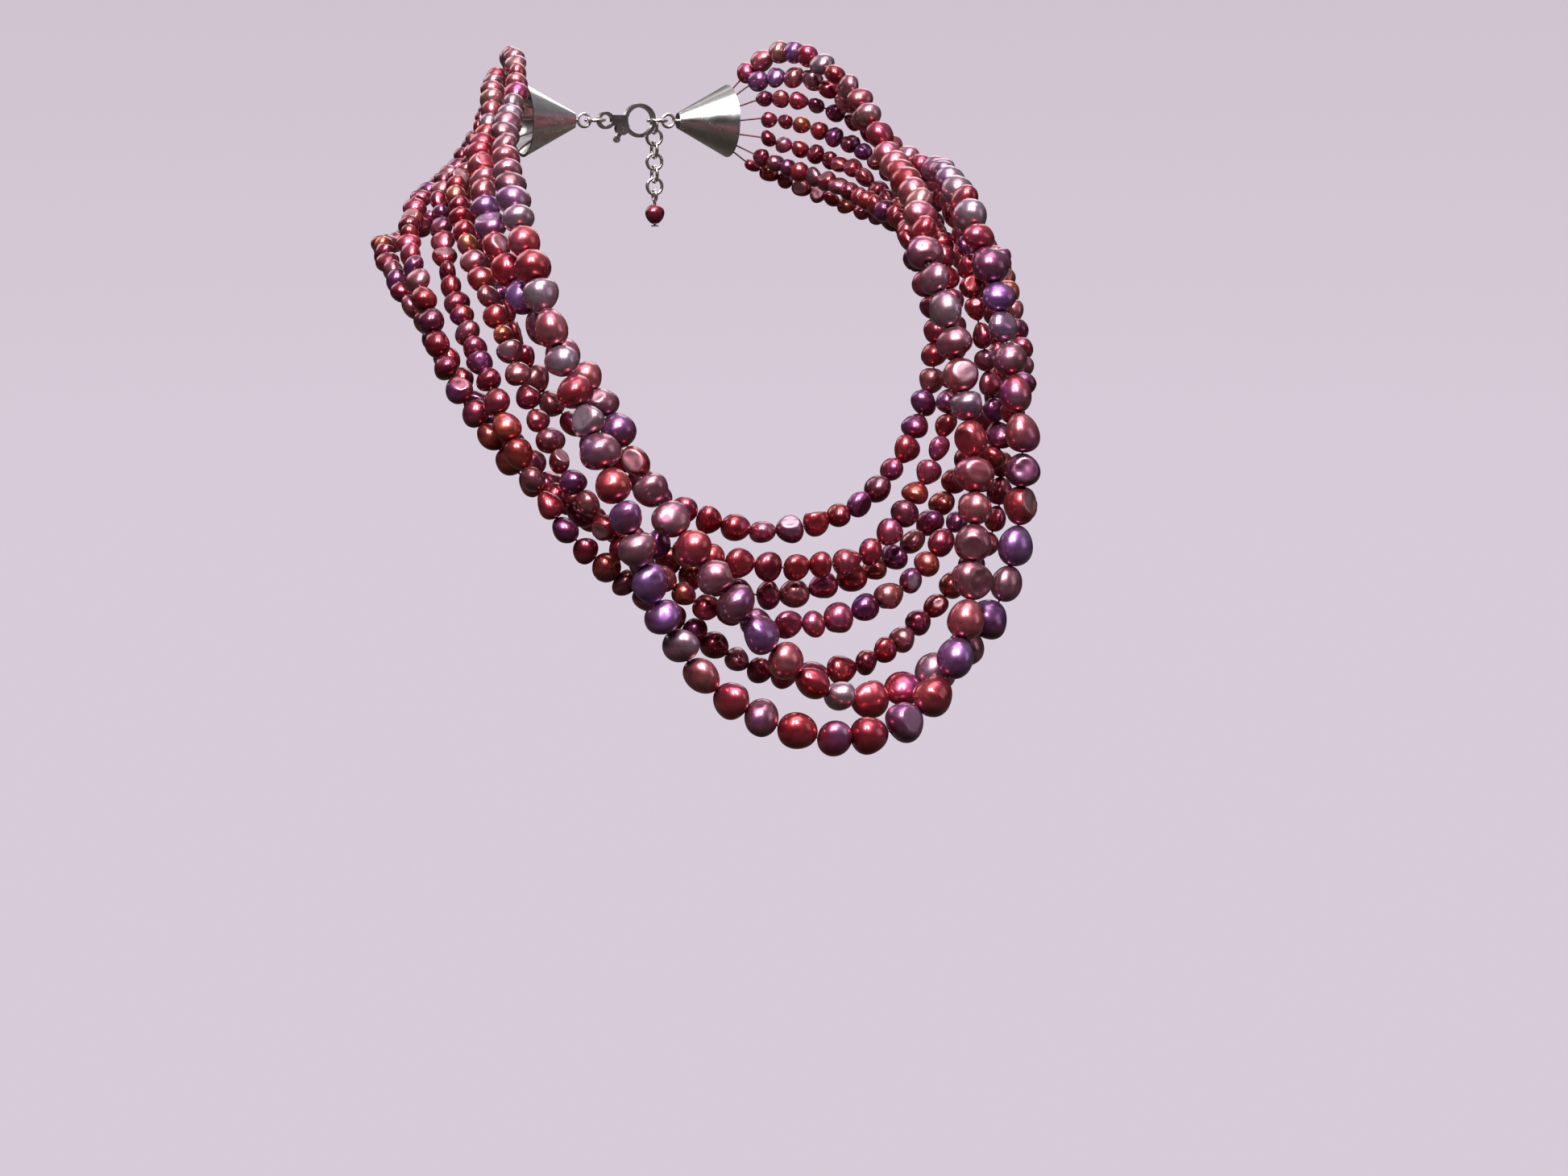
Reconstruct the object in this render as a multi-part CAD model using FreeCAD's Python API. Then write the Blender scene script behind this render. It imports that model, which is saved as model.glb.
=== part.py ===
import FreeCAD, Part
import math
import os
import random

Vector = FreeCAD.Vector
AXIS_X = Vector(1, 0, 0)
AXIS_Y = Vector(0, 1, 0)
AXIS_Z = Vector(0, 0, 1)

# The frame: origin at the middle of the wearer's neck, front towards -Y, +Z up. Millimetres.
# The necklace has the shape that it takes on a neck and chest. All strands swing about one line
# along X, through the mouths of the two cones at the nape.
NAPE = Vector(0, 50, 14)

# Cones that gather the strands
MOUTH_X = 26.0
CONE_TIP_X = 13.2
CONE_INNER_MOUTH = 8.0
CONE_INNER_TIP = 1.2
CONE_WALL = 0.7
PIN_HOLE = 0.55

# Threads and knots
THREAD = 0.2
KNOT = 0.6
KNOT_X = 20.0
KNOT_FAN = 2.6
MOUTH_FAN = 6.2
FAN_START = -90.0
FAN_STEP = 30.0

# Pearls: width across the thread at a strand's ends and at its middle, and length along the
# thread as a share of the width, from flat buttons to rounds
SMALL_WIDTH = (4.2, 6.1)
LARGE_WIDTH = (4.6, 8.3)
LENGTH_SHARE = (0.78, 1.02)
PEARL_GAP = 0.16
SIZE_SPREAD = 0.06
BORE = 0.42
LAY_GAP = 0.42

# The fan's radius at which neighbouring strands' first pearls no longer touch
BUNDLE = (SMALL_WIDTH[0] + 2 * LAY_GAP) / 2 / math.sin(math.radians(FAN_STEP / 2))

# Clasp and extender, all in round wire
WIRE = 0.4
EYE = 1.5
EYE_X = 10.7
RING = 2.2
RING_X = 7.9
LINK = 1.9
PLAY = 0.07

# Each strand: its place in the cones' fan, its pearl widths, and the route of its thread from the
# left cone (-X) to the right one. The fan's order is the order in which the strands lie on each
# other, the lowest first.
STRANDS = [
    ("small_strand_3", 0, SMALL_WIDTH, [
        (-32, 47, 3), (-44, 38, -3), (-59, 27, -11), (-67, 19, -14), (-72, 7, -14), (-74, -16, -22),
        (-71, -30, -32), (-66, -39, -43), (-57, -46, -55), (-47, -52, -66), (-35, -57, -74),
        (-21, -62, -82), (-7, -64, -84), (5, -64, -82), (17, -62, -79), (27, -59, -73),
        (36, -54, -65), (45, -49, -54), (53, -43, -42), (57, -33, -28), (60, -18, -21),
        (59, -4, -16), (57, 10, -12), (52, 24, -8), (43, 37, -3), (32, 47, 3)]),
    ("small_strand_1", 1, SMALL_WIDTH, [
        (-31, 43, 5), (-38, 33, 1), (-45, 21, -3), (-50, 9, -6), (-54, -5, -6), (-56, -22, -17),
        (-56, -35, -30), (-52, -43, -42), (-44, -49, -52), (-34, -54, -61), (-25, -58, -67),
        (-13, -60, -71), (0, -61, -70), (11, -60, -67), (20, -57, -61), (27, -54, -53),
        (32, -50, -45), (36, -46, -36), (37, -41, -25), (36, -34, -14), (42, -18, -9), (42, -8, -7),
        (42, 5, -4), (41, 20, -1), (37, 33, 2), (31, 43, 5)]),
    ("small_strand_2", 2, SMALL_WIDTH, [
        (-32, 40, 9), (-43, 31, 5), (-56, 20, -1), (-62, 12, -4), (-66, 3, -7), (-71, -11, -13),
        (-73, -25, -21), (-73, -36, -30), (-71, -42, -40), (-66, -47, -49), (-60, -52, -58),
        (-51, -57, -65), (-41, -62, -70), (-28, -65, -74), (-15, -67, -77), (-3, -68, -78),
        (8, -68, -77), (17, -66, -71), (23, -64, -64), (29, -61, -57), (33, -58, -48),
        (36, -55, -38), (38, -50, -27), (39, -43, -17), (47, -22, -12), (48, -8, -8), (48, 6, -5),
        (45, 20, -1), (41, 31, 4), (32, 40, 9)]),
    ("small_strand_5", 3, SMALL_WIDTH, [
        (-32, 39, 13), (-42, 29, 10), (-52, 18, 2), (-57, 10, 0), (-60, 4, -4), (-63, -10, -14),
        (-65, -22, -22), (-65, -34, -30), (-65, -46, -39), (-64, -53, -48), (-60, -59, -58),
        (-55, -62, -67), (-46, -64, -76), (-37, -65, -84), (-29, -66, -89), (-21, -66, -95),
        (-11, -68, -100), (2, -69, -100), (14, -68, -97), (24, -65, -91), (33, -63, -84),
        (41, -62, -76), (45, -60, -65), (45, -58, -53), (43, -58, -42), (41, -57, -32),
        (40, -54, -23), (50, -22, -9), (54, -8, -7), (54, 5, -2), (50, 18, 2), (42, 29, 10),
        (32, 39, 13)]),
    ("small_strand_4", 4, SMALL_WIDTH, [
        (-31, 40, 18), (-40, 29, 16), (-48, 17, 6), (-52, 8, 2), (-58, -2, -2), (-61, -20, -12),
        (-61, -32, -21), (-60, -40, -30), (-59, -47, -39), (-56, -54, -48), (-53, -61, -58),
        (-47, -68, -68), (-38, -69, -77), (-26, -70, -85), (-12, -70, -89), (1, -70, -89),
        (12, -69, -86), (21, -68, -81), (29, -67, -73), (36, -66, -64), (42, -65, -54),
        (50, -59, -44), (55, -48, -33), (58, -35, -22), (66, -16, -18), (65, -7, -11), (63, 5, -2),
        (56, 18, 3), (43, 29, 15), (31, 40, 18)]),
    ("large_strand_inner", 5, LARGE_WIDTH, [
        (-31, 42, 22), (-39, 29, 18), (-44, 16, 10), (-50, 4, 8), (-53, -5, 4), (-57, -22, -6),
        (-58, -37, -18), (-53, -46, -29), (-45, -53, -40), (-40, -60, -52), (-36, -67, -63),
        (-29, -74, -74), (-21, -78, -86), (-10, -78, -98), (3, -77, -105), (17, -75, -103),
        (29, -75, -96), (38, -74, -86), (42, -73, -74), (43, -73, -61), (43, -72, -49),
        (43, -67, -37), (42, -63, -25), (41, -54, -13), (45, -36, -7), (52, -10, 0), (50, 3, 6), (47, 16, 14),
        (40, 30, 21), (31, 42, 22)]),
    ("large_strand_outer", 6, LARGE_WIDTH, [
        (-29, 46, 24), (-33, 30, 21), (-38, 16, 17), (-48, -6, 8), (-54, -32, -5), (-55, -47, -18),
        (-54, -56, -30), (-51, -62, -42), (-48, -69, -54), (-45, -75, -68), (-40, -77, -82),
        (-32, -77, -96), (-19, -80, -106), (-5, -83, -111), (10, -85, -109), (21, -84, -99),
        (27, -81, -86), (30, -77, -73), (32, -73, -60), (33, -68, -48), (32, -64, -36),
        (31, -60, -25), (30, -52, -14), (37, -34, -4), (44, -4, 6), (43, 5, 16), (41, 17, 23),
        (36, 33, 26), (30, 46, 24)]),
]


def save(shapes, name):
    """One STEP for a node of one or more separate solids."""
    shape = shapes[0] if len(shapes) == 1 else Part.makeCompound(shapes)
    shape.exportStep("parts/" + name + ".step")
    print(name, "solids", len(shape.Solids), "valid", shape.isValid(), "volume", round(shape.Volume, 3))


# ---------------------------------------------------------------- the strands' lie


def fan_point(slot, side, x, radius):
    """A thread's place in a cone: on a circle about the swing line, at the strand's fan angle."""
    angle = math.radians(FAN_START + FAN_STEP * slot)
    return Vector(side * x, NAPE.y - radius * math.cos(angle), NAPE.z + radius * math.sin(angle))


def smooth_line(points, step=1.0):
    """Points about a step apart on the curve that passes evenly through all the given ones."""
    ends = [points[0] * 2 - points[1]] + points + [points[-1] * 2 - points[-2]]
    line = []
    for before, start, end, after in zip(ends, ends[1:], ends[2:], ends[3:]):
        count = max(2, round((end - start).Length / step))
        for k in range(count):
            t = k / count
            line.append(
                (start * 2 + (end - before) * t
                 + (before * 2 - start * 5 + end * 4 - after) * t ** 2
                 + (start * 3 - before - end * 3 + after) * t ** 3) * 0.5)
    return line + [points[-1]]


def swing(point):
    """A point's distance from the swing line and its angle about it, which grows as it is lifted."""
    forward = NAPE.y - point.y
    up = point.z - NAPE.z
    return math.hypot(forward, up), math.atan2(up, forward)


def swung(x, radius, angle):
    return Vector(x, NAPE.y - radius * math.cos(angle), NAPE.z + radius * math.sin(angle))


def width_at(share, widths):
    """Pearl width at a share of the strand's length: smallest at both ends."""
    return widths[0] + (widths[1] - widths[0]) * math.sin(math.pi * share) ** 0.8


def lay(line, widths, below):
    """Lifts a line about the swing line until it rests clear on the pearls laid before it."""
    count = len(line)
    turns = [swing(p) for p in line]
    need = []
    for k, (point, (radius, angle)) in enumerate(zip(line, turns)):
        own = width_at(k / count, widths) / 2 * (1 + SIZE_SPREAD) + LAY_GAP
        most = 0.0
        for x, their_radius, their_angle, half in below:
            clear = own + half
            across = abs(point.x - x)
            if across >= clear or abs(radius - their_radius) >= clear:
                continue
            along = clear ** 2 - across ** 2
            if (radius - their_radius) ** 2 >= along:
                continue
            cosine = (radius ** 2 + their_radius ** 2 - along) / (2 * radius * their_radius)
            gap = math.acos(max(-1.0, min(1.0, cosine)))
            most = max(most, their_angle + gap - angle)
        need.append(most)
    lift = list(need)
    for _ in range(60):
        lift = [
            max(n, (a + b * 2 + c) / 4)
            for n, a, b, c in zip(need, [0] + lift, lift, lift[1:] + [0])]
    return [
        swung(point.x, radius, angle + extra)
        for point, (radius, angle), extra in zip(line, turns, lift)]


def walk(line):
    """The distance along a line at each of its points."""
    reached = [0.0]
    for a, b in zip(line, line[1:]):
        reached.append(reached[-1] + (b - a).Length)
    return reached


def place_on(line, reached, distance):
    k = 1
    while k < len(line) - 1 and reached[k] < distance:
        k += 1
    share = (distance - reached[k - 1]) / (reached[k] - reached[k - 1])
    return line[k - 1] + (line[k] - line[k - 1]) * share


def choose_sizes(room, widths, draw):
    """Pearl widths and lengths drawn one after another until the room along the thread is used."""
    sizes = []
    used = 0.0
    while True:
        width = width_at(used / room, widths) * (1 + draw.uniform(-SIZE_SPREAD, SIZE_SPREAD))
        length = width * draw.uniform(*LENGTH_SHARE)
        if used + length + PEARL_GAP > room:
            return sizes
        sizes.append((width, length))
        used += length + PEARL_GAP


def bend_gap(width, before, after):
    """The room that a bend between two pearls takes, so that they don't meet on its inside."""
    half_turn = before.getAngle(after) / 2
    return width * (1 / math.cos(half_turn) - 1) + 2 * BORE * math.tan(half_turn)


def joint_points(line, reached, start, steps):
    """Points along the line from a start, each a straight step beyond the one before."""
    stride = 0.05
    distance = start
    joints = [place_on(line, reached, start)]
    for step in steps:
        distance += step - stride
        while (place_on(line, reached, distance) - joints[-1]).Length < step:
            distance += stride
        joints.append(place_on(line, reached, distance))
    return joints, distance


def string(line, widths, seed):
    """Pearls in a row along the line: their widths and lengths, and the points between them."""
    reached = walk(line)
    start = bare_length(line)
    stop = reached[-1] - start
    sizes = choose_sizes(stop - start, widths, random.Random(seed))
    gaps = [PEARL_GAP] * len(sizes)
    spare = 0.0
    end = 0.0
    while abs(stop - end) > 0.1:
        steps = [length + gap + spare for (_, length), gap in zip(sizes, gaps)]
        joints, end = joint_points(line, reached, start, steps)
        runs = [b - a for a, b in zip(joints, joints[1:])]
        bends = [bend_gap(w, a, b) for (w, _), a, b in zip(sizes, runs, runs[1:])]
        gaps = [PEARL_GAP + (a + b) / 2 for a, b in zip([0] + bends, bends + [0])]
        spare += (stop - end) / len(sizes)
        if spare < 0:
            sizes.pop()
            spare = 0.0
            end = 0.0
    return sizes, joints


def bare_length(line):
    """How far the thread runs from the cone's mouth before the fan is wide enough for pearls."""
    reached = walk(line)
    for point, distance in zip(line, reached):
        if swing(point)[0] > BUNDLE and abs(point.x) > MOUTH_X + SMALL_WIDTH[0] / 2:
            return distance
    return 0.0


# ---------------------------------------------------------------- pearls, threads, knots


def pearl(width, length, centre, direction):
    """A drilled pearl: an arc turned about the bore."""
    half = length / 2
    low = Vector(BORE, 0, -half)
    high = Vector(BORE, 0, half)
    arc = Part.Arc(low, Vector(width / 2, 0, 0), high).toShape()
    bore = Part.LineSegment(high, low).toShape()
    solid = Part.Face(Part.Wire([arc, bore])).revolve(Vector(), AXIS_Z, 360)
    solid = Part.Solid(solid.Shells[0]) if not solid.Solids else solid.Solids[0]
    solid.Placement = FreeCAD.Placement(centre, FreeCAD.Rotation(AXIS_Z, direction))
    return solid


def tube(points, radius):
    """A cord of straight runs joined by arcs that keep close to the corners."""
    edges = []
    here = points[0]
    for before, corner, after in zip(points, points[1:], points[2:]):
        arriving = corner - before
        leaving = after - corner
        turn = arriving.getAngle(leaving)
        if turn < math.radians(0.4):
            continue
        cut = 0.2 * min(arriving.Length, leaving.Length)
        arriving.normalize()
        leaving.normalize()
        start = corner - arriving * cut
        end = corner + leaving * cut
        bisector = leaving - arriving
        bisector.normalize()
        bend = cut / math.tan(turn / 2)
        middle = corner + bisector * (bend / math.cos(turn / 2) - bend)
        edges.append(Part.LineSegment(here, start).toShape())
        edges.append(Part.Arc(start, middle, end).toShape())
        here = end
    edges.append(Part.LineSegment(here, points[-1]).toShape())
    path = Part.Wire(edges)
    section = Part.Wire(Part.Circle(points[0], points[1] - points[0], radius).toShape())
    solid = path.makePipeShell([section], True, False)
    print("  cord length", round(path.Length, 1), "volume against section times length",
          round(solid.Volume / (math.pi * radius ** 2 * path.Length), 4))
    return solid


def strand(name, slot, widths, route, below):
    """One strand's pearls, thread and end knots. Adds its pearls to those that later ones lie on."""
    start = fan_point(slot, -1, MOUTH_X, MOUTH_FAN)
    end = fan_point(slot, 1, MOUTH_X, MOUTH_FAN)
    line = lay(smooth_line([start] + [Vector(p) for p in route] + [end]), widths, below)
    sizes, joints = string(line, widths, seed=slot)
    pearls = []
    for (width, length), here, there in zip(sizes, joints, joints[1:]):
        centre = (here + there) * 0.5
        pearls.append(pearl(width, length, centre, there - here))
        radius, angle = swing(centre)
        below.append((centre.x, radius, angle, max(width, length) / 2))
    knots = [fan_point(slot, side, KNOT_X, KNOT_FAN) for side in (-1, 1)]
    save(pearls, name + "_pearls")
    save([tube([knots[0], start] + joints + [end, knots[1]], THREAD)], name + "_thread")
    save([thread_knot(knots[0], start), thread_knot(knots[1], end)], name + "_knots")
    print("  pearls", len(pearls), "length along the thread", round(walk(joints)[-1]))


def thread_knot(end, towards):
    """A knot as a small ball with a socket that holds the thread's end with a hair of play."""
    direction = towards - end
    direction.normalize()
    centre = end - direction * (KNOT * 0.7)
    ball = Part.makeSphere(KNOT, centre, direction)
    hole = Part.makeCylinder(THREAD * 1.4, KNOT * 2, end - direction * (KNOT * 0.05), direction)
    return ball.cut(hole).Solids[0]


# ---------------------------------------------------------------- cones, pins, rings


def at_nape(x, y=0.0, z=0.0):
    return NAPE + Vector(x, y, z)


def ring(x, radius, axis, y=0.0, z=0.0):
    return Part.makeTorus(radius, WIRE, at_nape(x, y, z), axis)


def cone(side):
    """A hollow cone with its wide mouth outward and a small hole at its tip for the eye pin."""
    length = MOUTH_X - CONE_TIP_X
    outward = AXIS_X * side
    tip = at_nape(side * CONE_TIP_X)
    shell = Part.makeCone(
        CONE_INNER_TIP + CONE_WALL, CONE_INNER_MOUTH + CONE_WALL, length, tip, outward)
    inside = tip + outward * CONE_WALL
    hollow = Part.makeCone(CONE_INNER_TIP, CONE_INNER_MOUTH, length - CONE_WALL, inside, outward)
    hole = Part.makeCylinder(PIN_HOLE, length, tip - outward, outward)
    return shell.cut(hollow.fuse(hole)).Solids[0]


def eye_pin(side):
    """A wire through the cone's tip, with an eye outside for the clasp and one inside for the thread."""
    outside = ring(side * EYE_X, EYE, AXIS_Y)
    inner_eye = 1.0
    inside_x = 16.6
    inside = ring(side * inside_x, inner_eye, AXIS_Y)
    shank_start = at_nape(side * (EYE_X + EYE))
    shank = Part.makeCylinder(WIRE, inside_x - inner_eye - EYE_X - EYE, shank_start, AXIS_X * side)
    return outside.fuse(shank).fuse(inside).removeSplitter().Solids[0]


# ---------------------------------------------------------------- the claw, hanging mouth down

CLAW_THICK = 1.8
CLAW_EYE_X = -5.3
CLAW_EYE_HOLE = 1.4
CLAW_EYE_OUTER = 2.05
HOOK_X = 3.3
HOOK_INNER = 3.15
HOOK_OUTER = 4.05
MOUTH_FROM = 62.0
MOUTH_TO = 150.0
PIVOT_X = -1.2
PIVOT_Z = -1.9
BOSS = 1.6
LEVER_THICK = 0.8
SLOT = 0.9
SLOT_FLOOR = -0.6
LEVER_PIN = 0.35


def plate(x, z, radius, thick):
    """A disc in the claw's plane."""
    return Part.makeCylinder(radius, thick, at_nape(x, -thick / 2, z), AXIS_Y)


def sector(thick, from_angle, to_angle):
    """The part of the hook's ring between two angles, measured down from +X."""
    ring_plate = plate(HOOK_X, 0, HOOK_OUTER, thick).cut(plate(HOOK_X, 0, HOOK_INNER, thick))
    reach = HOOK_OUTER * 3
    middle = at_nape(HOOK_X, -thick / 2)
    corners = [middle]
    for k in range(5):
        angle = math.radians(from_angle + (to_angle - from_angle) * k / 4)
        corners.append(middle + Vector(reach * math.cos(angle), 0, -reach * math.sin(angle)))
    wedge = Part.Face(Part.makePolygon(corners + [middle])).extrude(AXIS_Y * thick)
    return ring_plate.common(wedge).Solids[0]


def bar(x_from, x_to, z_from, z_to, thick):
    low = at_nape(x_from, -thick / 2, z_from)
    return Part.makeBox(x_to - x_from, thick, z_to - z_from, low)


def claw_body():
    shape = sector(CLAW_THICK, MOUTH_TO, MOUTH_FROM + 360)
    shape = shape.fuse(plate(CLAW_EYE_X, 0, CLAW_EYE_OUTER, CLAW_THICK))
    shape = shape.fuse(bar(CLAW_EYE_X, -0.4, -1.3, 1.3, CLAW_THICK))
    shape = shape.fuse(plate(PIVOT_X, PIVOT_Z, BOSS, CLAW_THICK).cut(
        plate(HOOK_X, 0, HOOK_INNER, CLAW_THICK)))
    shape = shape.cut(plate(CLAW_EYE_X, 0, CLAW_EYE_HOLE, CLAW_THICK))
    shape = shape.cut(plate(PIVOT_X, PIVOT_Z, LEVER_PIN + 0.01, CLAW_THICK))
    shape = shape.cut(bar(-3.4, 0.6, -5.0, SLOT_FLOOR, SLOT))
    return shape.removeSplitter().Solids[0]


def lever_reach():
    """How far from its pivot the lever may stretch and still swing in past the hook's tip."""
    angle = math.radians(MOUTH_FROM)
    tip_x = HOOK_X + HOOK_INNER * math.cos(angle)
    tip_z = -HOOK_INNER * math.sin(angle)
    return math.hypot(tip_x - PIVOT_X, tip_z - PIVOT_Z) - 0.08


def claw_lever():
    """The arc that closes the hook's mouth, its pivot and the thumb tab."""
    shape = sector(LEVER_THICK, MOUTH_FROM + 2.5, MOUTH_TO - 4)
    shape = shape.fuse(plate(PIVOT_X, PIVOT_Z, 0.95, LEVER_THICK))
    shape = shape.fuse(bar(PIVOT_X, 0.4, PIVOT_Z - 0.6, PIVOT_Z + 0.3, LEVER_THICK))
    tab = bar(PIVOT_X - 0.5, PIVOT_X + 0.5, PIVOT_Z - 2.9, PIVOT_Z, LEVER_THICK)
    tab = tab.fuse(plate(PIVOT_X, PIVOT_Z - 2.9, 0.8, LEVER_THICK))
    tab.rotate(at_nape(PIVOT_X, 0, PIVOT_Z), AXIS_Y, 27)
    shape = shape.fuse(tab)
    shape = shape.cut(plate(PIVOT_X, PIVOT_Z, LEVER_PIN + 0.04, LEVER_THICK))
    shape = shape.common(plate(PIVOT_X, PIVOT_Z, lever_reach(), LEVER_THICK))
    return shape.removeSplitter().Solids[0]


def claw_spring():
    """A leaf in the slot's floor that presses on the lever's heel."""
    leaf = 0.12
    return bar(-3.2, 0.1, SLOT_FLOOR - leaf, SLOT_FLOOR, LEVER_THICK)


# ---------------------------------------------------------------- extender and end drop

LINK_COUNT = 6
LINK_DROP = 2 * LINK - 2 * WIRE - PLAY
CHAIN_Y = RING
FIRST_LINK_Z = 2 * WIRE + PLAY - LINK
DROP_PEARL = (5.0, 4.8)


def extender():
    """Round links that hang from the ring, each turned a quarter from the one above."""
    for k in range(LINK_COUNT):
        axis = AXIS_X if k % 2 == 0 else AXIS_Y
        link = ring(RING_X, LINK, axis, CHAIN_Y, FIRST_LINK_Z - k * LINK_DROP)
        save([link], "extender_link_" + str(k + 1))


def end_drop():
    """A pearl on a head pin whose eye hangs in the last link."""
    eye = 1.2
    axis = AXIS_X if LINK_COUNT % 2 == 0 else AXIS_Y
    last_wire = FIRST_LINK_Z - (LINK_COUNT - 1) * LINK_DROP - LINK
    eye_z = last_wire + 2 * WIRE + PLAY - eye
    width, length = DROP_PEARL
    pearl_z = eye_z - eye - WIRE - 0.5 - length / 2
    shank_top = eye_z - eye
    shank_low = pearl_z - length / 2 - 0.3
    shank = Part.makeCylinder(
        BORE - 0.05, shank_top - shank_low, at_nape(RING_X, CHAIN_Y, shank_low), AXIS_Z)
    head = Part.makeCylinder(0.9, 0.3, at_nape(RING_X, CHAIN_Y, shank_low - 0.25), AXIS_Z)
    pin = ring(RING_X, eye, axis, CHAIN_Y, eye_z).fuse(shank).fuse(head).removeSplitter()
    save([pin.Solids[0]], "drop_pin")
    save([pearl(width, length, at_nape(RING_X, CHAIN_Y, pearl_z), AXIS_Z)], "drop_pearl")


def main():
    os.makedirs("parts", exist_ok=True)
    below = []
    for name, slot, widths, route in STRANDS:
        strand(name, slot, widths, route, below)
    for side, word in ((-1, "left"), (1, "right")):
        save([cone(side)], word + "_cone")
        save([eye_pin(side)], word + "_eye_pin")
        save([ring(side * RING_X, RING, AXIS_Z)], word + "_ring")
    save([claw_body()], "claw_body")
    save([claw_lever()], "claw_lever")
    pin_start = at_nape(PIVOT_X, -CLAW_THICK / 2, PIVOT_Z)
    save([Part.makeCylinder(LEVER_PIN, CLAW_THICK, pin_start, AXIS_Y)], "claw_lever_pin")
    save([claw_spring()], "claw_spring")
    extender()
    end_drop()


main()
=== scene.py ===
"""The looks of a seven-strand pearl necklace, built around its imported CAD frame."""

import math
import random

import bpy
import numpy as np
from mathutils import Matrix, Vector


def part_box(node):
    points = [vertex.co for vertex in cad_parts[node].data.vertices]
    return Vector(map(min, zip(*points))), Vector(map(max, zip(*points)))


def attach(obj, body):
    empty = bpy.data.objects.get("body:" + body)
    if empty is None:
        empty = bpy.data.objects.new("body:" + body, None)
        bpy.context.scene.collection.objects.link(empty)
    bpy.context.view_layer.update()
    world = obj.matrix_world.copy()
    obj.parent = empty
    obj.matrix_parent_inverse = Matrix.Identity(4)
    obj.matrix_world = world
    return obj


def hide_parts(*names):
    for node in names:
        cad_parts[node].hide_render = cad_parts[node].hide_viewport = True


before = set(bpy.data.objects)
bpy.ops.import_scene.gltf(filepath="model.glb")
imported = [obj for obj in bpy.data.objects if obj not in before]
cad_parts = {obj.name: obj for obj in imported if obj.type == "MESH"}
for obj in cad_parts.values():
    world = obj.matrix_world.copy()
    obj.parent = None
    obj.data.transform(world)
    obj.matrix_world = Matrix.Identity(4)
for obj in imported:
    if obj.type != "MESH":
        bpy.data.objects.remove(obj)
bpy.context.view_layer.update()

SMALL_STRANDS = ["small_strand_" + str(k) for k in (1, 2, 3, 4, 5)]

# ---------------------------------------------------------------- camera and studio

CAMERA_AZIMUTH = -23.0
CAMERA_ELEVATION = 9.0
CAMERA_PLACE = (-0.2253, -0.5776, 0.0058)
FIELD_OF_VIEW = 32.0
SENSOR = 36.0
FLOOR_Z = -0.30
FLOOR_RADIUS = 1.7
WALL_RADIUS = 2.6
WALL_HEIGHT = 2.4


def looking(azimuth, elevation):
    """The unit vector of a look: azimuth 0 is along +Y, and a raised camera looks down."""
    a, e = math.radians(azimuth), math.radians(elevation)
    return Vector((-math.sin(a) * math.cos(e), math.cos(a) * math.cos(e), -math.sin(e)))


def add_camera():
    data = bpy.data.cameras.new("camera")
    data.sensor_width = SENSOR
    data.lens = SENSOR / 2 / math.tan(math.radians(FIELD_OF_VIEW / 2))
    data.clip_start = 0.01
    data.clip_end = 20
    camera = bpy.data.objects.new("camera", data)
    camera.location = CAMERA_PLACE
    camera.rotation_mode = "QUATERNION"
    camera.rotation_quaternion = looking(CAMERA_AZIMUTH, CAMERA_ELEVATION).to_track_quat("-Z", "Y")
    bpy.context.scene.collection.objects.link(camera)
    bpy.context.scene.camera = camera


def add_softbox(name, azimuth, elevation, distance, size, power, colour):
    """A rectangular light that faces the necklace, azimuth and elevation as for a camera there."""
    data = bpy.data.lights.new(name, "AREA")
    data.shape = "RECTANGLE"
    data.size, data.size_y = size
    data.energy = power
    data.color = colour
    light = bpy.data.objects.new(name, data)
    direction = looking(azimuth, elevation)
    light.location = Vector((0, -0.02, -0.04)) - direction * distance
    light.rotation_mode = "QUATERNION"
    light.rotation_quaternion = direction.to_track_quat("-Z", "Y")
    bpy.context.scene.collection.objects.link(light)


def add_lights():
    add_softbox("strip_left", -40, 50, 0.9, (0.12, 0.45), 8.5, (1.0, 0.94, 0.96))
    add_softbox("strip_right", -12, 52, 0.9, (0.12, 0.45), 8.5, (1.0, 0.95, 0.97))
    add_softbox("overhead", 10, 80, 1.3, (1.0, 0.8), 9.5, (0.98, 0.97, 1.0))
    add_softbox("fill", 50, 15, 1.6, (0.7, 0.9), 2, (1.0, 0.97, 0.98))
    add_softbox("back_left", 205, 35, 1.2, (0.6, 0.8), 3, (1.0, 0.96, 0.97))
    add_softbox("back_right", 150, 35, 1.2, (0.6, 0.8), 3, (1.0, 0.96, 0.97))


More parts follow.
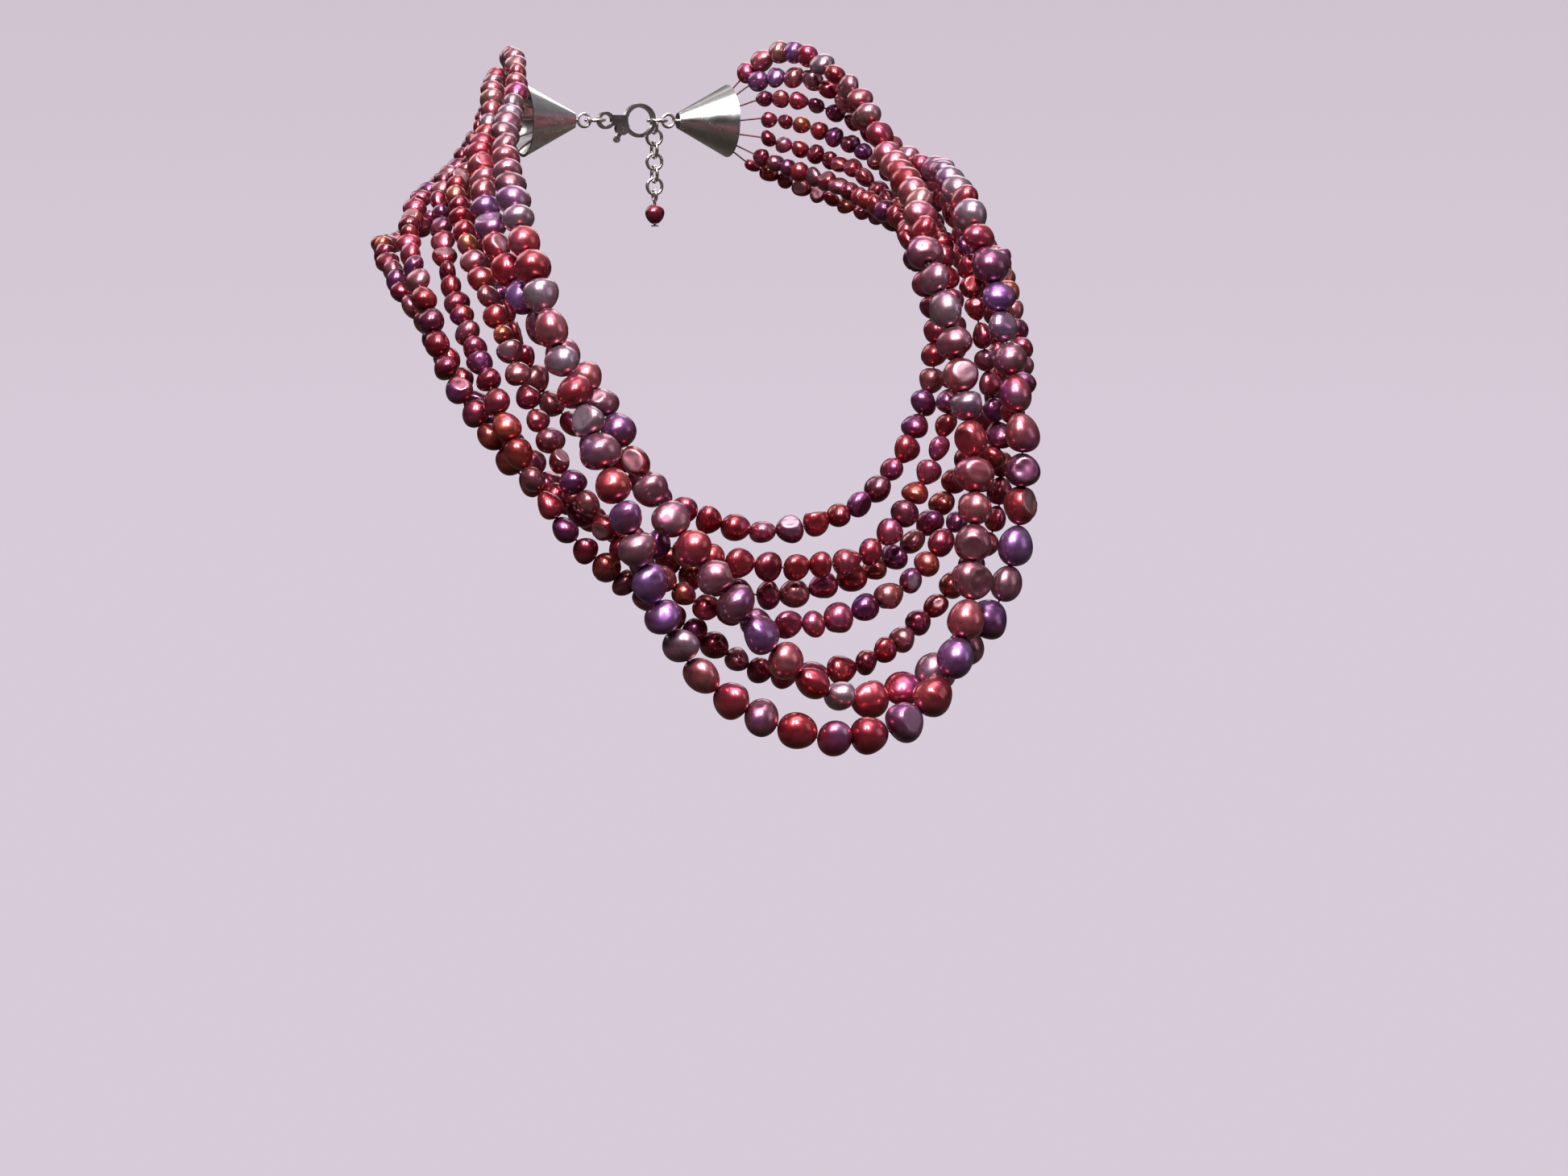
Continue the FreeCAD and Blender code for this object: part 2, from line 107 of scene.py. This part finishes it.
def add_world():
    """Reflected surroundings: bright above, dark at eye level, warm and dim below like linen."""
    world = bpy.data.worlds.new("studio")
    world.use_nodes = True
    tree = world.node_tree
    tree.nodes.clear()
    output = tree.nodes.new("ShaderNodeOutputWorld")
    background = tree.nodes.new("ShaderNodeBackground")
    place = tree.nodes.new("ShaderNodeTexCoord")
    split = tree.nodes.new("ShaderNodeSeparateXYZ")
    spread = tree.nodes.new("ShaderNodeMapRange")
    spread.inputs["From Min"].default_value = -1
    ramp = tree.nodes.new("ShaderNodeValToRGB")
    paint_ramp(ramp, [
        (0.0, (0.04, 0.035, 0.03, 1)),
        (0.34, (0.12, 0.098, 0.09, 1)),
        (0.47, (0.01, 0.008, 0.01, 1)),
        (0.62, (0.05, 0.048, 0.054, 1)),
        (1.0, (0.42, 0.40, 0.44, 1))])
    tree.links.new(place.outputs["Generated"], split.inputs[0])
    tree.links.new(split.outputs["Z"], spread.inputs["Value"])
    tree.links.new(spread.outputs["Result"], ramp.inputs["Fac"])
    tree.links.new(ramp.outputs["Color"], background.inputs["Color"])
    tree.links.new(background.outputs["Background"], output.inputs["Surface"])
    bpy.context.scene.world = world


def paint_ramp(ramp, stops):
    elements = ramp.color_ramp.elements
    while len(elements) < len(stops):
        elements.new(0.5)
    for element, (position, colour) in zip(elements, stops):
        element.position = position
        element.color = colour


def add_studio():
    """A pale lilac sweep of floor and wall, glowing, with painted shade a little darker upwards, which
    only the camera sees.
    """
    sweep = [(0.0, 0.0), (FLOOR_RADIUS, 0.0)]
    bend = WALL_RADIUS - FLOOR_RADIUS
    for k in range(1, 13):
        turn = math.radians(90 * k / 12)
        sweep.append((FLOOR_RADIUS + bend * math.sin(turn), bend * (1 - math.cos(turn))))
    sweep.append((WALL_RADIUS, WALL_HEIGHT))
    backdrop = lathe("backdrop", sweep, 96)
    backdrop.visible_glossy = False
    backdrop.visible_diffuse = False
    backdrop.visible_shadow = False
    backdrop.data.materials.append(paper_material())


def paper_material():
    """Glowing paper: it gives off its own tone, with painted shade darkening it upwards, so the lights
    leave no pools on it.
    """
    paper = bpy.data.materials.new("paper")
    paper.use_nodes = True
    tree = paper.node_tree
    tree.nodes.clear()
    output = tree.nodes.new("ShaderNodeOutputMaterial")
    glow = tree.nodes.new("ShaderNodeEmission")
    place = tree.nodes.new("ShaderNodeTexCoord")
    split = tree.nodes.new("ShaderNodeSeparateXYZ")
    ramp = tree.nodes.new("ShaderNodeValToRGB")
    # Painted shade: the glow dims from the floor up the wall
    paint_ramp(ramp, [
        (0.0, (0.68, 0.60, 0.69, 1)),
        (0.3, (0.60, 0.52, 0.59, 1)),
        (0.7, (0.50, 0.43, 0.51, 1))])
    tree.links.new(place.outputs["Generated"], split.inputs[0])
    tree.links.new(split.outputs["Z"], ramp.inputs["Fac"])
    tree.links.new(ramp.outputs["Color"], glow.inputs["Color"])
    tree.links.new(glow.outputs["Emission"], output.inputs["Surface"])
    return paper


def lathe(name, profile, segments):
    vertices = []
    for radius, height in profile:
        for k in range(segments):
            turn = 2 * math.pi * k / segments
            vertices.append((radius * math.cos(turn), radius * math.sin(turn), FLOOR_Z + height))
    faces = []
    for ring in range(len(profile) - 1):
        for k in range(segments):
            near, far = ring * segments + k, ring * segments + (k + 1) % segments
            faces.append((near, far, far + segments, near + segments))
    mesh = bpy.data.meshes.new(name)
    mesh.from_pydata(vertices, [], faces)
    mesh.shade_smooth()
    piece = bpy.data.objects.new(name, mesh)
    bpy.context.scene.collection.objects.link(piece)
    return piece


# ---------------------------------------------------------------- where the pearls are


def separate_solids(node):
    """The corners of each separate solid in a CAD node, as arrays in metres."""
    mesh = node.data
    corners = np.empty(len(mesh.vertices) * 3)
    mesh.vertices.foreach_get("co", corners)
    corners = corners.reshape(-1, 3)
    edges = np.empty(len(mesh.edges) * 2, int)
    mesh.edges.foreach_get("vertices", edges)
    edges = edges.reshape(-1, 2)
    _, shared = np.unique(np.round(corners * 1e7).astype(int), axis=0, return_inverse=True)
    shared = shared.ravel()
    a, b = shared[edges[:, 0]], shared[edges[:, 1]]
    label = np.arange(shared.max() + 1)
    # Corners that an edge joins take the lower label of the two, until no label changes
    while True:
        lowest = np.minimum(label[a], label[b])
        new = label.copy()
        np.minimum.at(new, a, lowest)
        np.minimum.at(new, b, lowest)
        new = new[new]
        if (new == label).all():
            break
        label = new
    owner = label[shared]
    return [corners[owner == k] for k in np.unique(owner)]


def in_order(solids):
    """The solids as they are strung, from the one nearest to the left cone, and their centres."""
    centres = [(s.min(0) + s.max(0)) / 2 for s in solids]
    left = list(range(len(solids)))
    here = np.array(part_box("left_cone")[0])
    order = []
    while left:
        nearest = min(left, key=lambda k: np.linalg.norm(centres[k] - here))
        order.append(nearest)
        left.remove(nearest)
        here = centres[nearest]
    return [solids[k] for k in order], [centres[k] for k in order]


def pearl_places(node):
    """For each pearl of a strand: centre, direction of its bore, half width and half length."""
    solids, centres = in_order(separate_solids(node))
    last = len(centres) - 1
    places = []
    for k, (solid, centre) in enumerate(zip(solids, centres)):
        run = centres[min(k + 1, last)] - centres[max(k - 1, 0)]
        direction = run / np.linalg.norm(run) if last else np.array([0.0, 0.0, 1.0])
        offset = solid - centre
        along = offset @ direction
        across = np.linalg.norm(offset - np.outer(along, direction), axis=1)
        places.append([centre, direction, across.max(), np.abs(along).max()])
    return close_gaps(places)


def close_gaps(places):
    """Lengthens pearls until they touch, where the frame's rigid ones keep a hair apart."""
    closing = 1.15
    gaps = [0.0]
    for one, other in zip(places, places[1:]):
        gaps.append(np.linalg.norm(other[0] - one[0]) - one[3] - other[3])
    gaps.append(0.0)
    for place, before, after in zip(places, gaps, gaps[1:]):
        place[3] += closing * (before + after) / 4
    return places


# ---------------------------------------------------------------- one pearl's form

SEGMENTS = 36
RINGS = 24
# The share of the half turn from pole to pole that the two drilled holes take up
HOLE_SHARE = 0.13
# How deep the hole's lip, the foot of its wall and its middle lie, as shares of the radius
LIP_DEPTH = 0.02
WALL_DEPTH = 0.30
HOLE_DEPTH = 0.32


def pearl_template():
    """Directions over a round, with a drilled hole at each pole, its depth, and its faces."""
    polar = [math.pi * (HOLE_SHARE / 2 + (1 - HOLE_SHARE) * k / (RINGS - 1)) for k in range(RINGS)]
    first, last = polar[0], polar[-1]
    lip, wall = 0.92, 0.85
    rings = [(first * wall, WALL_DEPTH), (first * lip, LIP_DEPTH)] + [(angle, 0.0) for angle in polar]
    rings += [(math.pi - (math.pi - last) * lip, LIP_DEPTH)]
    rings += [(math.pi - (math.pi - last) * wall, WALL_DEPTH)]
    directions = [(0, 0, 1)]
    depths = [HOLE_DEPTH]
    for angle, depth in rings:
        for k in range(SEGMENTS):
            turn = 2 * math.pi * k / SEGMENTS
            directions.append((math.sin(angle) * math.cos(turn),
                               math.sin(angle) * math.sin(turn), math.cos(angle)))
            depths.append(depth)
    directions.append((0, 0, -1))
    depths.append(HOLE_DEPTH)
    faces = []
    end = len(directions) - 1
    for k in range(SEGMENTS):
        after = (k + 1) % SEGMENTS
        faces.append((0, 1 + k, 1 + after))
        faces.append((end, end - SEGMENTS + after, end - SEGMENTS + k))
        for ring in range(len(rings) - 1):
            near, far = 1 + ring * SEGMENTS + k, 1 + ring * SEGMENTS + after
            faces.append((near, near + SEGMENTS, far + SEGMENTS, far))
    return np.array(directions), np.array(depths), faces


def unit(draw):
    """A random direction."""
    while True:
        v = np.array([draw.uniform(-1, 1) for _ in range(3)])
        length = np.linalg.norm(v)
        if 0.1 < length < 1:
            return v / length


def sideways(draw, tilt):
    """A random direction near the middle of the pearl, up to tilt off the plane across its bore."""
    turn = draw.uniform(0, 2 * math.pi)
    v = np.array([math.cos(turn), math.sin(turn), draw.uniform(-tilt, tilt)])
    return v / np.linalg.norm(v)


def waves(draw, points, scale, count):
    """A smooth random field of about -1 to 1: the sum of a few plane waves."""
    field = np.zeros(len(points))
    for _ in range(count):
        field += np.sin(points @ unit(draw) * scale * draw.uniform(0.6, 1.5) + draw.uniform(0, 6.28))
    return field / math.sqrt(count) * 1.1


def groove(distance, width):
    """1 on the groove's line, falling to 0 at its sides."""
    return np.exp(-(distance / width) ** 2)


def soft_cut(points, normal, height, edge):
    """Presses flat what stands beyond a plane. Also returns where it is flat, and how far beyond."""
    beyond = points @ normal - height
    pressed = edge * np.logaddexp(0, beyond / edge)
    return points - np.outer(pressed, normal), np.clip(beyond / 0.05, 0, 1), beyond


def ring_grooves(draw, directions):
    """One to three shallow grooves round the bore."""
    lean = directions @ sideways(draw, 0)
    deepest = np.zeros(len(directions))
    for _ in range(draw.randint(1, 3)):
        level = draw.uniform(-0.65, 0.65) + lean * draw.uniform(-0.15, 0.15)
        line = groove(directions[:, 2] - level, draw.uniform(0.035, 0.075))
        line *= 0.6 + 0.4 * waves(draw, directions, 1.5, 3)
        deepest = np.maximum(deepest, line * draw.uniform(0.4, 1.0))
    return deepest


def fold(draw, directions):
    """One short wandering crease."""
    normal, centre = unit(draw), sideways(draw, 0.7)
    bend = 0.12 * waves(draw, directions, 3, 3)
    near = groove(np.arccos(np.clip(directions @ centre, -1, 1)), 0.75)
    return groove(directions @ normal + bend, 0.08) * near


def dent(draw, directions):
    centre = sideways(draw, 1.0)
    return groove(np.arccos(np.clip(directions @ centre, -1, 1)), draw.uniform(0.18, 0.45))


def crinkles(draw, directions):
    """A patch of fine wrinkles that run together."""
    patch = groove(np.arccos(np.clip(directions @ sideways(draw, 0.6), -1, 1)), 0.8)
    return patch * np.clip(waves(draw, directions, 11, 3), 0, 1)


def pearl_form(draw, directions, depths, wildness, flatten):
    """One baroque pearl in a unit round: its corners, its creases, flat and rim, and the flat's side."""
    lumps = 0.055 * waves(draw, directions, 1.7, 4) + 0.010 * waves(draw, directions, 3.6, 5)
    radius = 1 + wildness * lumps
    crease = np.zeros(len(directions))
    # Each crease's chance, form, depth and weight: the weight sets both its painted shade and its
    # dullness
    for chance, shape, depth, crease_weight in (
            (0.35, ring_grooves, 0.045, 0.6), (0.30, fold, 0.11, 1.0),
            (0.40, dent, 0.10, 0.4), (0.25, dent, 0.07, 0.4), (0.15, crinkles, 0.05, 0.6)):
        if draw.random() < chance:
            line = shape(draw, directions)
            radius -= depth * draw.uniform(0.4, 1.0) * line
            crease = np.maximum(crease, crease_weight * line)
    points = directions * (radius - depths)[:, None]
    points[:, :2] *= (1 + wildness * draw.uniform(-0.16, 0.16) * points[:, 2])[:, None]
    flat = np.zeros(len(points))
    rim = np.zeros(len(points))
    side = sideways(draw, 0.5)
    if flatten:
        height = draw.uniform(0.62, 0.84) + 0.02 * waves(draw, directions, 9, 5)
        points, flat, beyond = soft_cut(points, side, height, 0.014)
        rim = groove(beyond - 0.01, 0.03)
    squeeze = 1 + wildness * draw.uniform(-0.11, 0.11)
    points[:, 0] *= squeeze
    points[:, 1] /= squeeze
    return points, crease, flat, rim, side


# ---------------------------------------------------------------- colours of the pearls

# Linear colour of a pearl's body and of its overtone, and how common the pair is
SMALL_COLOURS = {
    "crimson": ((0.26, 0.015, 0.026), (0.37, 0.038, 0.048), 7),
    "wine": ((0.17, 0.011, 0.026), (0.27, 0.030, 0.057), 5),
    "red copper": ((0.27, 0.023, 0.028), (0.41, 0.072, 0.050), 3),
    "plum": ((0.14, 0.019, 0.048), (0.19, 0.043, 0.145), 3),
    "brown mauve": ((0.24, 0.059, 0.074), (0.35, 0.105, 0.115), 3),
    "pink wine": ((0.28, 0.032, 0.057), (0.39, 0.067, 0.115), 3),
    "copper": ((0.29, 0.043, 0.029), (0.48, 0.130, 0.067), 1),
}
LARGE_COLOURS = {
    "r": ((0.38, 0.085, 0.105), (0.50, 0.150, 0.170), 5),
    "c": ((0.33, 0.024, 0.036), (0.44, 0.060, 0.075), 5),
    "s": ((0.30, 0.180, 0.215), (0.38, 0.260, 0.340), 3),
    "v": ((0.20, 0.055, 0.125), (0.26, 0.110, 0.310), 2),
    "m": ((0.26, 0.085, 0.110), (0.34, 0.150, 0.200), 5),
    "t": ((0.38, 0.150, 0.130), (0.44, 0.200, 0.200), 1),
}

# The large pearls as they are strung from the left cone: r rose, c crimson, s silver, v violet,
# m mauve, t tan, a capital for one with a flat to the front, and a dot for one left to chance
OUTER_ORDER = "........ssmmmrmmssccsrscSmcvmvvsrcmcccvcvrMMrRCsRmsmmcrtrccrrc.........."
INNER_ORDER = ".........cccrrvvccvmrrmvCmmcMmvrcsccmmvmvcvrcmsvvcsc................"
LARGE_STRANDS = {"large_strand_inner": INNER_ORDER, "large_strand_outer": OUTER_ORDER}

# Painted sheens: patches of iridescent overtone on one side of a pearl, partly the nacre's own colour
# and partly painted sheen
VIOLET = (0.22, 0.07, 0.34)
MAGENTA = (0.42, 0.08, 0.22)
COPPER = (0.48, 0.13, 0.07)
BLUE_GREY = (0.32, 0.26, 0.38)
SHEENS = [VIOLET, VIOLET, MAGENTA, MAGENTA, MAGENTA, COPPER, BLUE_GREY]

FLAT_GREY = np.array([0.40, 0.30, 0.35])
# Painted highlight: the pale pink laid on the ridge round a flat
RIM_PALE = np.array([0.60, 0.34, 0.36])


def pick(draw, colours):
    names = list(colours)
    return draw.choices(names, [colours[name][2] for name in names])[0]


def mixed(colour, other, share):
    """Each corner's colour taken towards another by the corner's share."""
    return colour * (1 - share[:, None]) + other * share[:, None]


def pearl_colours(draw, hue, directions, depths, crease, flat, rim):
    """Each corner's colour: cloudy body and overtone, patches of painted sheen, painted shade in creases
    and inside the holes, and flats greyed on half the pearls and darkened on the rest, with a painted
    highlight round their edge.
    """
    body = np.array(hue[0]) * draw.uniform(0.75, 1.2)
    overtone = np.array(hue[1])
    drift = 0.65 * waves(draw, directions, 1.3, 3) + 0.30 * waves(draw, directions, 3.2, 5)
    colour = mixed(body, overtone, np.clip(0.45 + drift, 0, 1))
    # Painted sheen: two patches of overtone colour on each pearl, partly its own colour
    for _ in range(2):
        sheen = np.array(draw.choice(SHEENS))
        away = np.arccos(np.clip(directions @ sideways(draw, 0.9), -1, 1))
        patch = groove(away, draw.uniform(0.4, 1.0))
        colour = mixed(colour, sheen, draw.uniform(0.05, 0.55) * patch)
    speck = 1 + 0.10 * waves(draw, directions, 14, 8)[:, None]
    colour = colour * speck
    # Painted shade: creases, ring grooves and dents darkened as if shadowed
    colour *= 1 - 0.45 * crease[:, None]
    if draw.random() < 0.5:
        colour = mixed(colour, FLAT_GREY, 0.45 * flat)
    else:
        colour *= 1 - 0.35 * flat[:, None]
    # Painted highlight along the edge round a flat
    colour = mixed(colour, RIM_PALE, 0.3 * rim)
    # Painted shade: the drilled holes darkened inside, most at their middle
    hole = np.clip(depths * 5, 0, 1)[:, None]
    return np.clip(colour * (1 - 0.9 * hole), 0.002, 1)


# ---------------------------------------------------------------- a strand of pearls

TEMPLATE = pearl_template()


def facing(draw, rotation, side):
    """The spin about the bore that brings a pearl's flat side roughly to the front."""
    front = rotation.T @ np.array([0.0, -1.0, 0.0])
    spin = math.atan2(front[1], front[0]) - math.atan2(side[1], side[0])
    return Matrix.Rotation(spin + draw.gauss(0, 0.7), 3, "Z")


def set_in_place(draw, points, side, place):
    """A unit pearl's corners, brought to its size and place on the thread."""
    centre, direction, half_width, half_length = place
    points[:, :2] /= np.linalg.norm(points[:, :2], axis=1).max()
    points[:, 2] /= np.abs(points[:, 2]).max()
    points *= [half_width, half_width, half_length]
    points[:, :2] *= draw.uniform(0.99, 1.06)
    rotation = np.array(Vector(direction).to_track_quat("Z", "Y").to_matrix())
    turn = rotation @ np.array(facing(draw, rotation, side))
    return points @ turn.T + centre


def make_pearls(draw, places, order, colours, wildness, flats):
    """The corners of all a strand's pearls, with their colours and their dullness."""
    directions, depths, _ = TEMPLATE
    corners, tints, dull = [], [], []
    for letter, place in zip(order.ljust(len(places), "."), places):
        hue = colours[pick(draw, colours) if letter == "." else letter.lower()]
        flatten = letter.isupper() or draw.random() < flats
        points, crease, flat, rim, side = pearl_form(draw, directions, depths, wildness, flatten)
        tints.append(pearl_colours(draw, hue, directions, depths, crease, flat, rim))
        corners.append(set_in_place(draw, points, side, place))
        dull.append(np.clip(0.5 * crease + 0.6 * flat, 0, 1))
    return np.concatenate(corners), np.concatenate(tints), np.concatenate(dull)


def strand_mesh(name, places, order, seed, **kind):
    """All the pearls of one strand as one mesh, with a colour and a dullness at each corner."""
    corners, tints, dull = make_pearls(random.Random(seed), places, order, **kind)
    directions, _, faces = TEMPLATE
    pearls = range(0, len(corners), len(directions))
    rows = [[first + corner for corner in face] for first in pearls for face in faces]
    mesh = bpy.data.meshes.new(name)
    mesh.from_pydata(corners, [], rows)
    mesh.shade_smooth()
    rgba = np.ones((len(corners), 4), np.float32)
    rgba[:, :3] = tints
    tint = mesh.color_attributes.new("tint", "FLOAT_COLOR", "POINT")
    tint.data.foreach_set("color", rgba.ravel())
    dullness = mesh.attributes.new("dullness", "FLOAT", "POINT")
    dullness.data.foreach_set("value", dull.astype(np.float32))
    return mesh


def add_pearls(node, body, slot, material, order="", **kind):
    """The pearls that stand in for a CAD node's, riding on its body."""
    places = pearl_places(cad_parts[node])
    mesh = strand_mesh(node + "_skin", places, order, **kind)
    mesh.materials.append(material)
    piece = bpy.data.objects.new(node + "_skin", mesh)
    bpy.context.scene.collection.objects.link(piece)
    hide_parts(node)
    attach(piece, body)


# ---------------------------------------------------------------- materials


def new_material(name):
    material = bpy.data.materials.new(name)
    material.use_nodes = True
    return material, material.node_tree, material.node_tree.nodes["Principled BSDF"]


def noise(tree, scale, detail, roughness=0.5):
    """Noise in the object's own coordinates."""
    place = tree.nodes.new("ShaderNodeTexCoord")
    texture = tree.nodes.new("ShaderNodeTexNoise")
    texture.inputs["Scale"].default_value = scale
    texture.inputs["Detail"].default_value = detail
    texture.inputs["Roughness"].default_value = roughness
    tree.links.new(place.outputs["Object"], texture.inputs["Vector"])
    return texture


def spread(tree, source, low, high, from_low=0.3, from_high=0.7):
    """A value mapped to a range."""
    node = tree.nodes.new("ShaderNodeMapRange")
    node.inputs["From Min"].default_value = from_low
    node.inputs["From Max"].default_value = from_high
    node.inputs["To Min"].default_value = low
    node.inputs["To Max"].default_value = high
    tree.links.new(source, node.inputs["Value"])
    return node.outputs["Result"]


def add_bump(tree, shader, height, strength, distance):
    bump = tree.nodes.new("ShaderNodeBump")
    bump.inputs["Strength"].default_value = strength
    bump.inputs["Distance"].default_value = distance
    tree.links.new(height, bump.inputs["Height"])
    tree.links.new(bump.outputs["Normal"], shader.inputs["Normal"])


def pearl_material(name):
    """Nacre: metallic lustre under a clear coat, cloudy colour, and a faint skin of fine wrinkles."""
    material, tree, shader = new_material(name)
    tint = tree.nodes.new("ShaderNodeAttribute")
    tint.attribute_name = "tint"
    dull = tree.nodes.new("ShaderNodeAttribute")
    dull.attribute_name = "dullness"
    cloud = noise(tree, 900, 4)
    fleck = tree.nodes.new("ShaderNodeMix")
    fleck.data_type = "RGBA"
    fleck.blend_type = "MULTIPLY"
    fleck.inputs["Factor"].default_value = 1
    shade = spread(tree, cloud.outputs["Fac"], 0.86, 1.12)
    tree.links.new(tint.outputs["Color"], fleck.inputs["A"])
    tree.links.new(shade, fleck.inputs["B"])
    tree.links.new(fleck.outputs["Result"], shader.inputs["Base Color"])
    matt = tree.nodes.new("ShaderNodeMath")
    matt.operation = "MULTIPLY_ADD"
    matt.inputs[1].default_value = 0.22
    tree.links.new(dull.outputs["Fac"], matt.inputs[0])
    tree.links.new(spread(tree, noise(tree, 500, 3).outputs["Fac"], 0.24, 0.34), matt.inputs[2])
    tree.links.new(matt.outputs["Value"], shader.inputs["Roughness"])
    add_bump(tree, shader, noise(tree, 700, 3, 0.5).outputs["Fac"], 0.12, 0.00006)
    shader.inputs["Metallic"].default_value = 0.85
    shader.inputs["Specular IOR Level"].default_value = 0.6
    shader.inputs["Coat Weight"].default_value = 0.55
    shader.inputs["Coat Roughness"].default_value = 0.14
    shader.inputs["Coat IOR"].default_value = 1.6
    return material


def silver_material():
    """Silver plate, a little clouded and finely scratched from wear."""
    material, tree, shader = new_material("silver_plate")
    ramp = tree.nodes.new("ShaderNodeValToRGB")
    paint_ramp(ramp, [(0.35, (0.60, 0.57, 0.53, 1)), (0.6, (0.86, 0.85, 0.82, 1))])
    cloud = noise(tree, 260, 5, 0.6)
    tree.links.new(cloud.outputs["Fac"], ramp.inputs["Fac"])
    tree.links.new(ramp.outputs["Color"], shader.inputs["Base Color"])
    tree.links.new(spread(tree, cloud.outputs["Fac"], 0.32, 0.16), shader.inputs["Roughness"])
    add_bump(tree, shader, noise(tree, 1800, 3).outputs["Fac"], 0.06, 0.00004)
    shader.inputs["Metallic"].default_value = 1
    return material


def steel_material():
    """Ground steel with fine grain."""
    material, tree, shader = new_material("steel")
    ramp = tree.nodes.new("ShaderNodeValToRGB")
    paint_ramp(ramp, [(0.3, (0.38, 0.38, 0.39, 1)), (0.7, (0.55, 0.55, 0.56, 1))])
    grain = noise(tree, 1800, 3)
    tree.links.new(grain.outputs["Fac"], ramp.inputs["Fac"])
    tree.links.new(ramp.outputs["Color"], shader.inputs["Base Color"])
    tree.links.new(spread(tree, grain.outputs["Fac"], 0.28, 0.42), shader.inputs["Roughness"])
    shader.inputs["Metallic"].default_value = 1
    return material


def silk_material():
    """Dark red silk thread with a fine twist."""
    material, tree, shader = new_material("silk_thread")
    place = tree.nodes.new("ShaderNodeTexCoord")
    ply = tree.nodes.new("ShaderNodeTexWave")
    ply.bands_direction = "DIAGONAL"
    ply.inputs["Scale"].default_value = 900
    ply.inputs["Distortion"].default_value = 1.5
    tree.links.new(place.outputs["Object"], ply.inputs["Vector"])
    ramp = tree.nodes.new("ShaderNodeValToRGB")
    paint_ramp(ramp, [(0.1, (0.05, 0.006, 0.010, 1)), (0.8, (0.16, 0.02, 0.03, 1))])
    tree.links.new(ply.outputs["Fac"], ramp.inputs["Fac"])
    tree.links.new(ramp.outputs["Color"], shader.inputs["Base Color"])
    add_bump(tree, shader, ply.outputs["Fac"], 0.6, 0.00008)
    shader.inputs["Roughness"].default_value = 0.6
    shader.inputs["Sheen Weight"].default_value = 0.4
    return material


def dress(names, material):
    """Puts a material on CAD nodes whose names end in one of these."""
    for name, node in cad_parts.items():
        if name.endswith(names):
            node.data.materials.clear()
            node.data.materials.append(material)


# ---------------------------------------------------------------- the whole


def main():
    bpy.context.scene.view_settings.view_transform = "Standard"
    add_camera()
    add_lights()
    add_world()
    add_studio()
    nacre = pearl_material("pearl_nacre")
    small = {"colours": SMALL_COLOURS, "wildness": 1.7, "flats": 0.15}
    large = {"colours": LARGE_COLOURS, "wildness": 1.35, "flats": 0.10}
    for seed, body in enumerate(SMALL_STRANDS):
        add_pearls(body + "_pearls", body, "small_pearl", nacre, seed=seed + 11, **small)
    for seed, (body, order) in enumerate(LARGE_STRANDS.items()):
        add_pearls(body + "_pearls", body, "large_pearl", nacre, order=order, seed=seed + 31, **large)
    add_pearls("drop_pearl", "end_drop", "small_pearl", nacre, seed=41, **small)
    links = tuple("link_" + str(k) for k in range(1, 7))
    dress(("cone", "eye_pin", "ring", "claw_body", "claw_lever", "drop_pin") + links, silver_material())
    dress(("claw_lever_pin", "claw_spring"), steel_material())
    dress(("thread", "knots"), silk_material())


main()
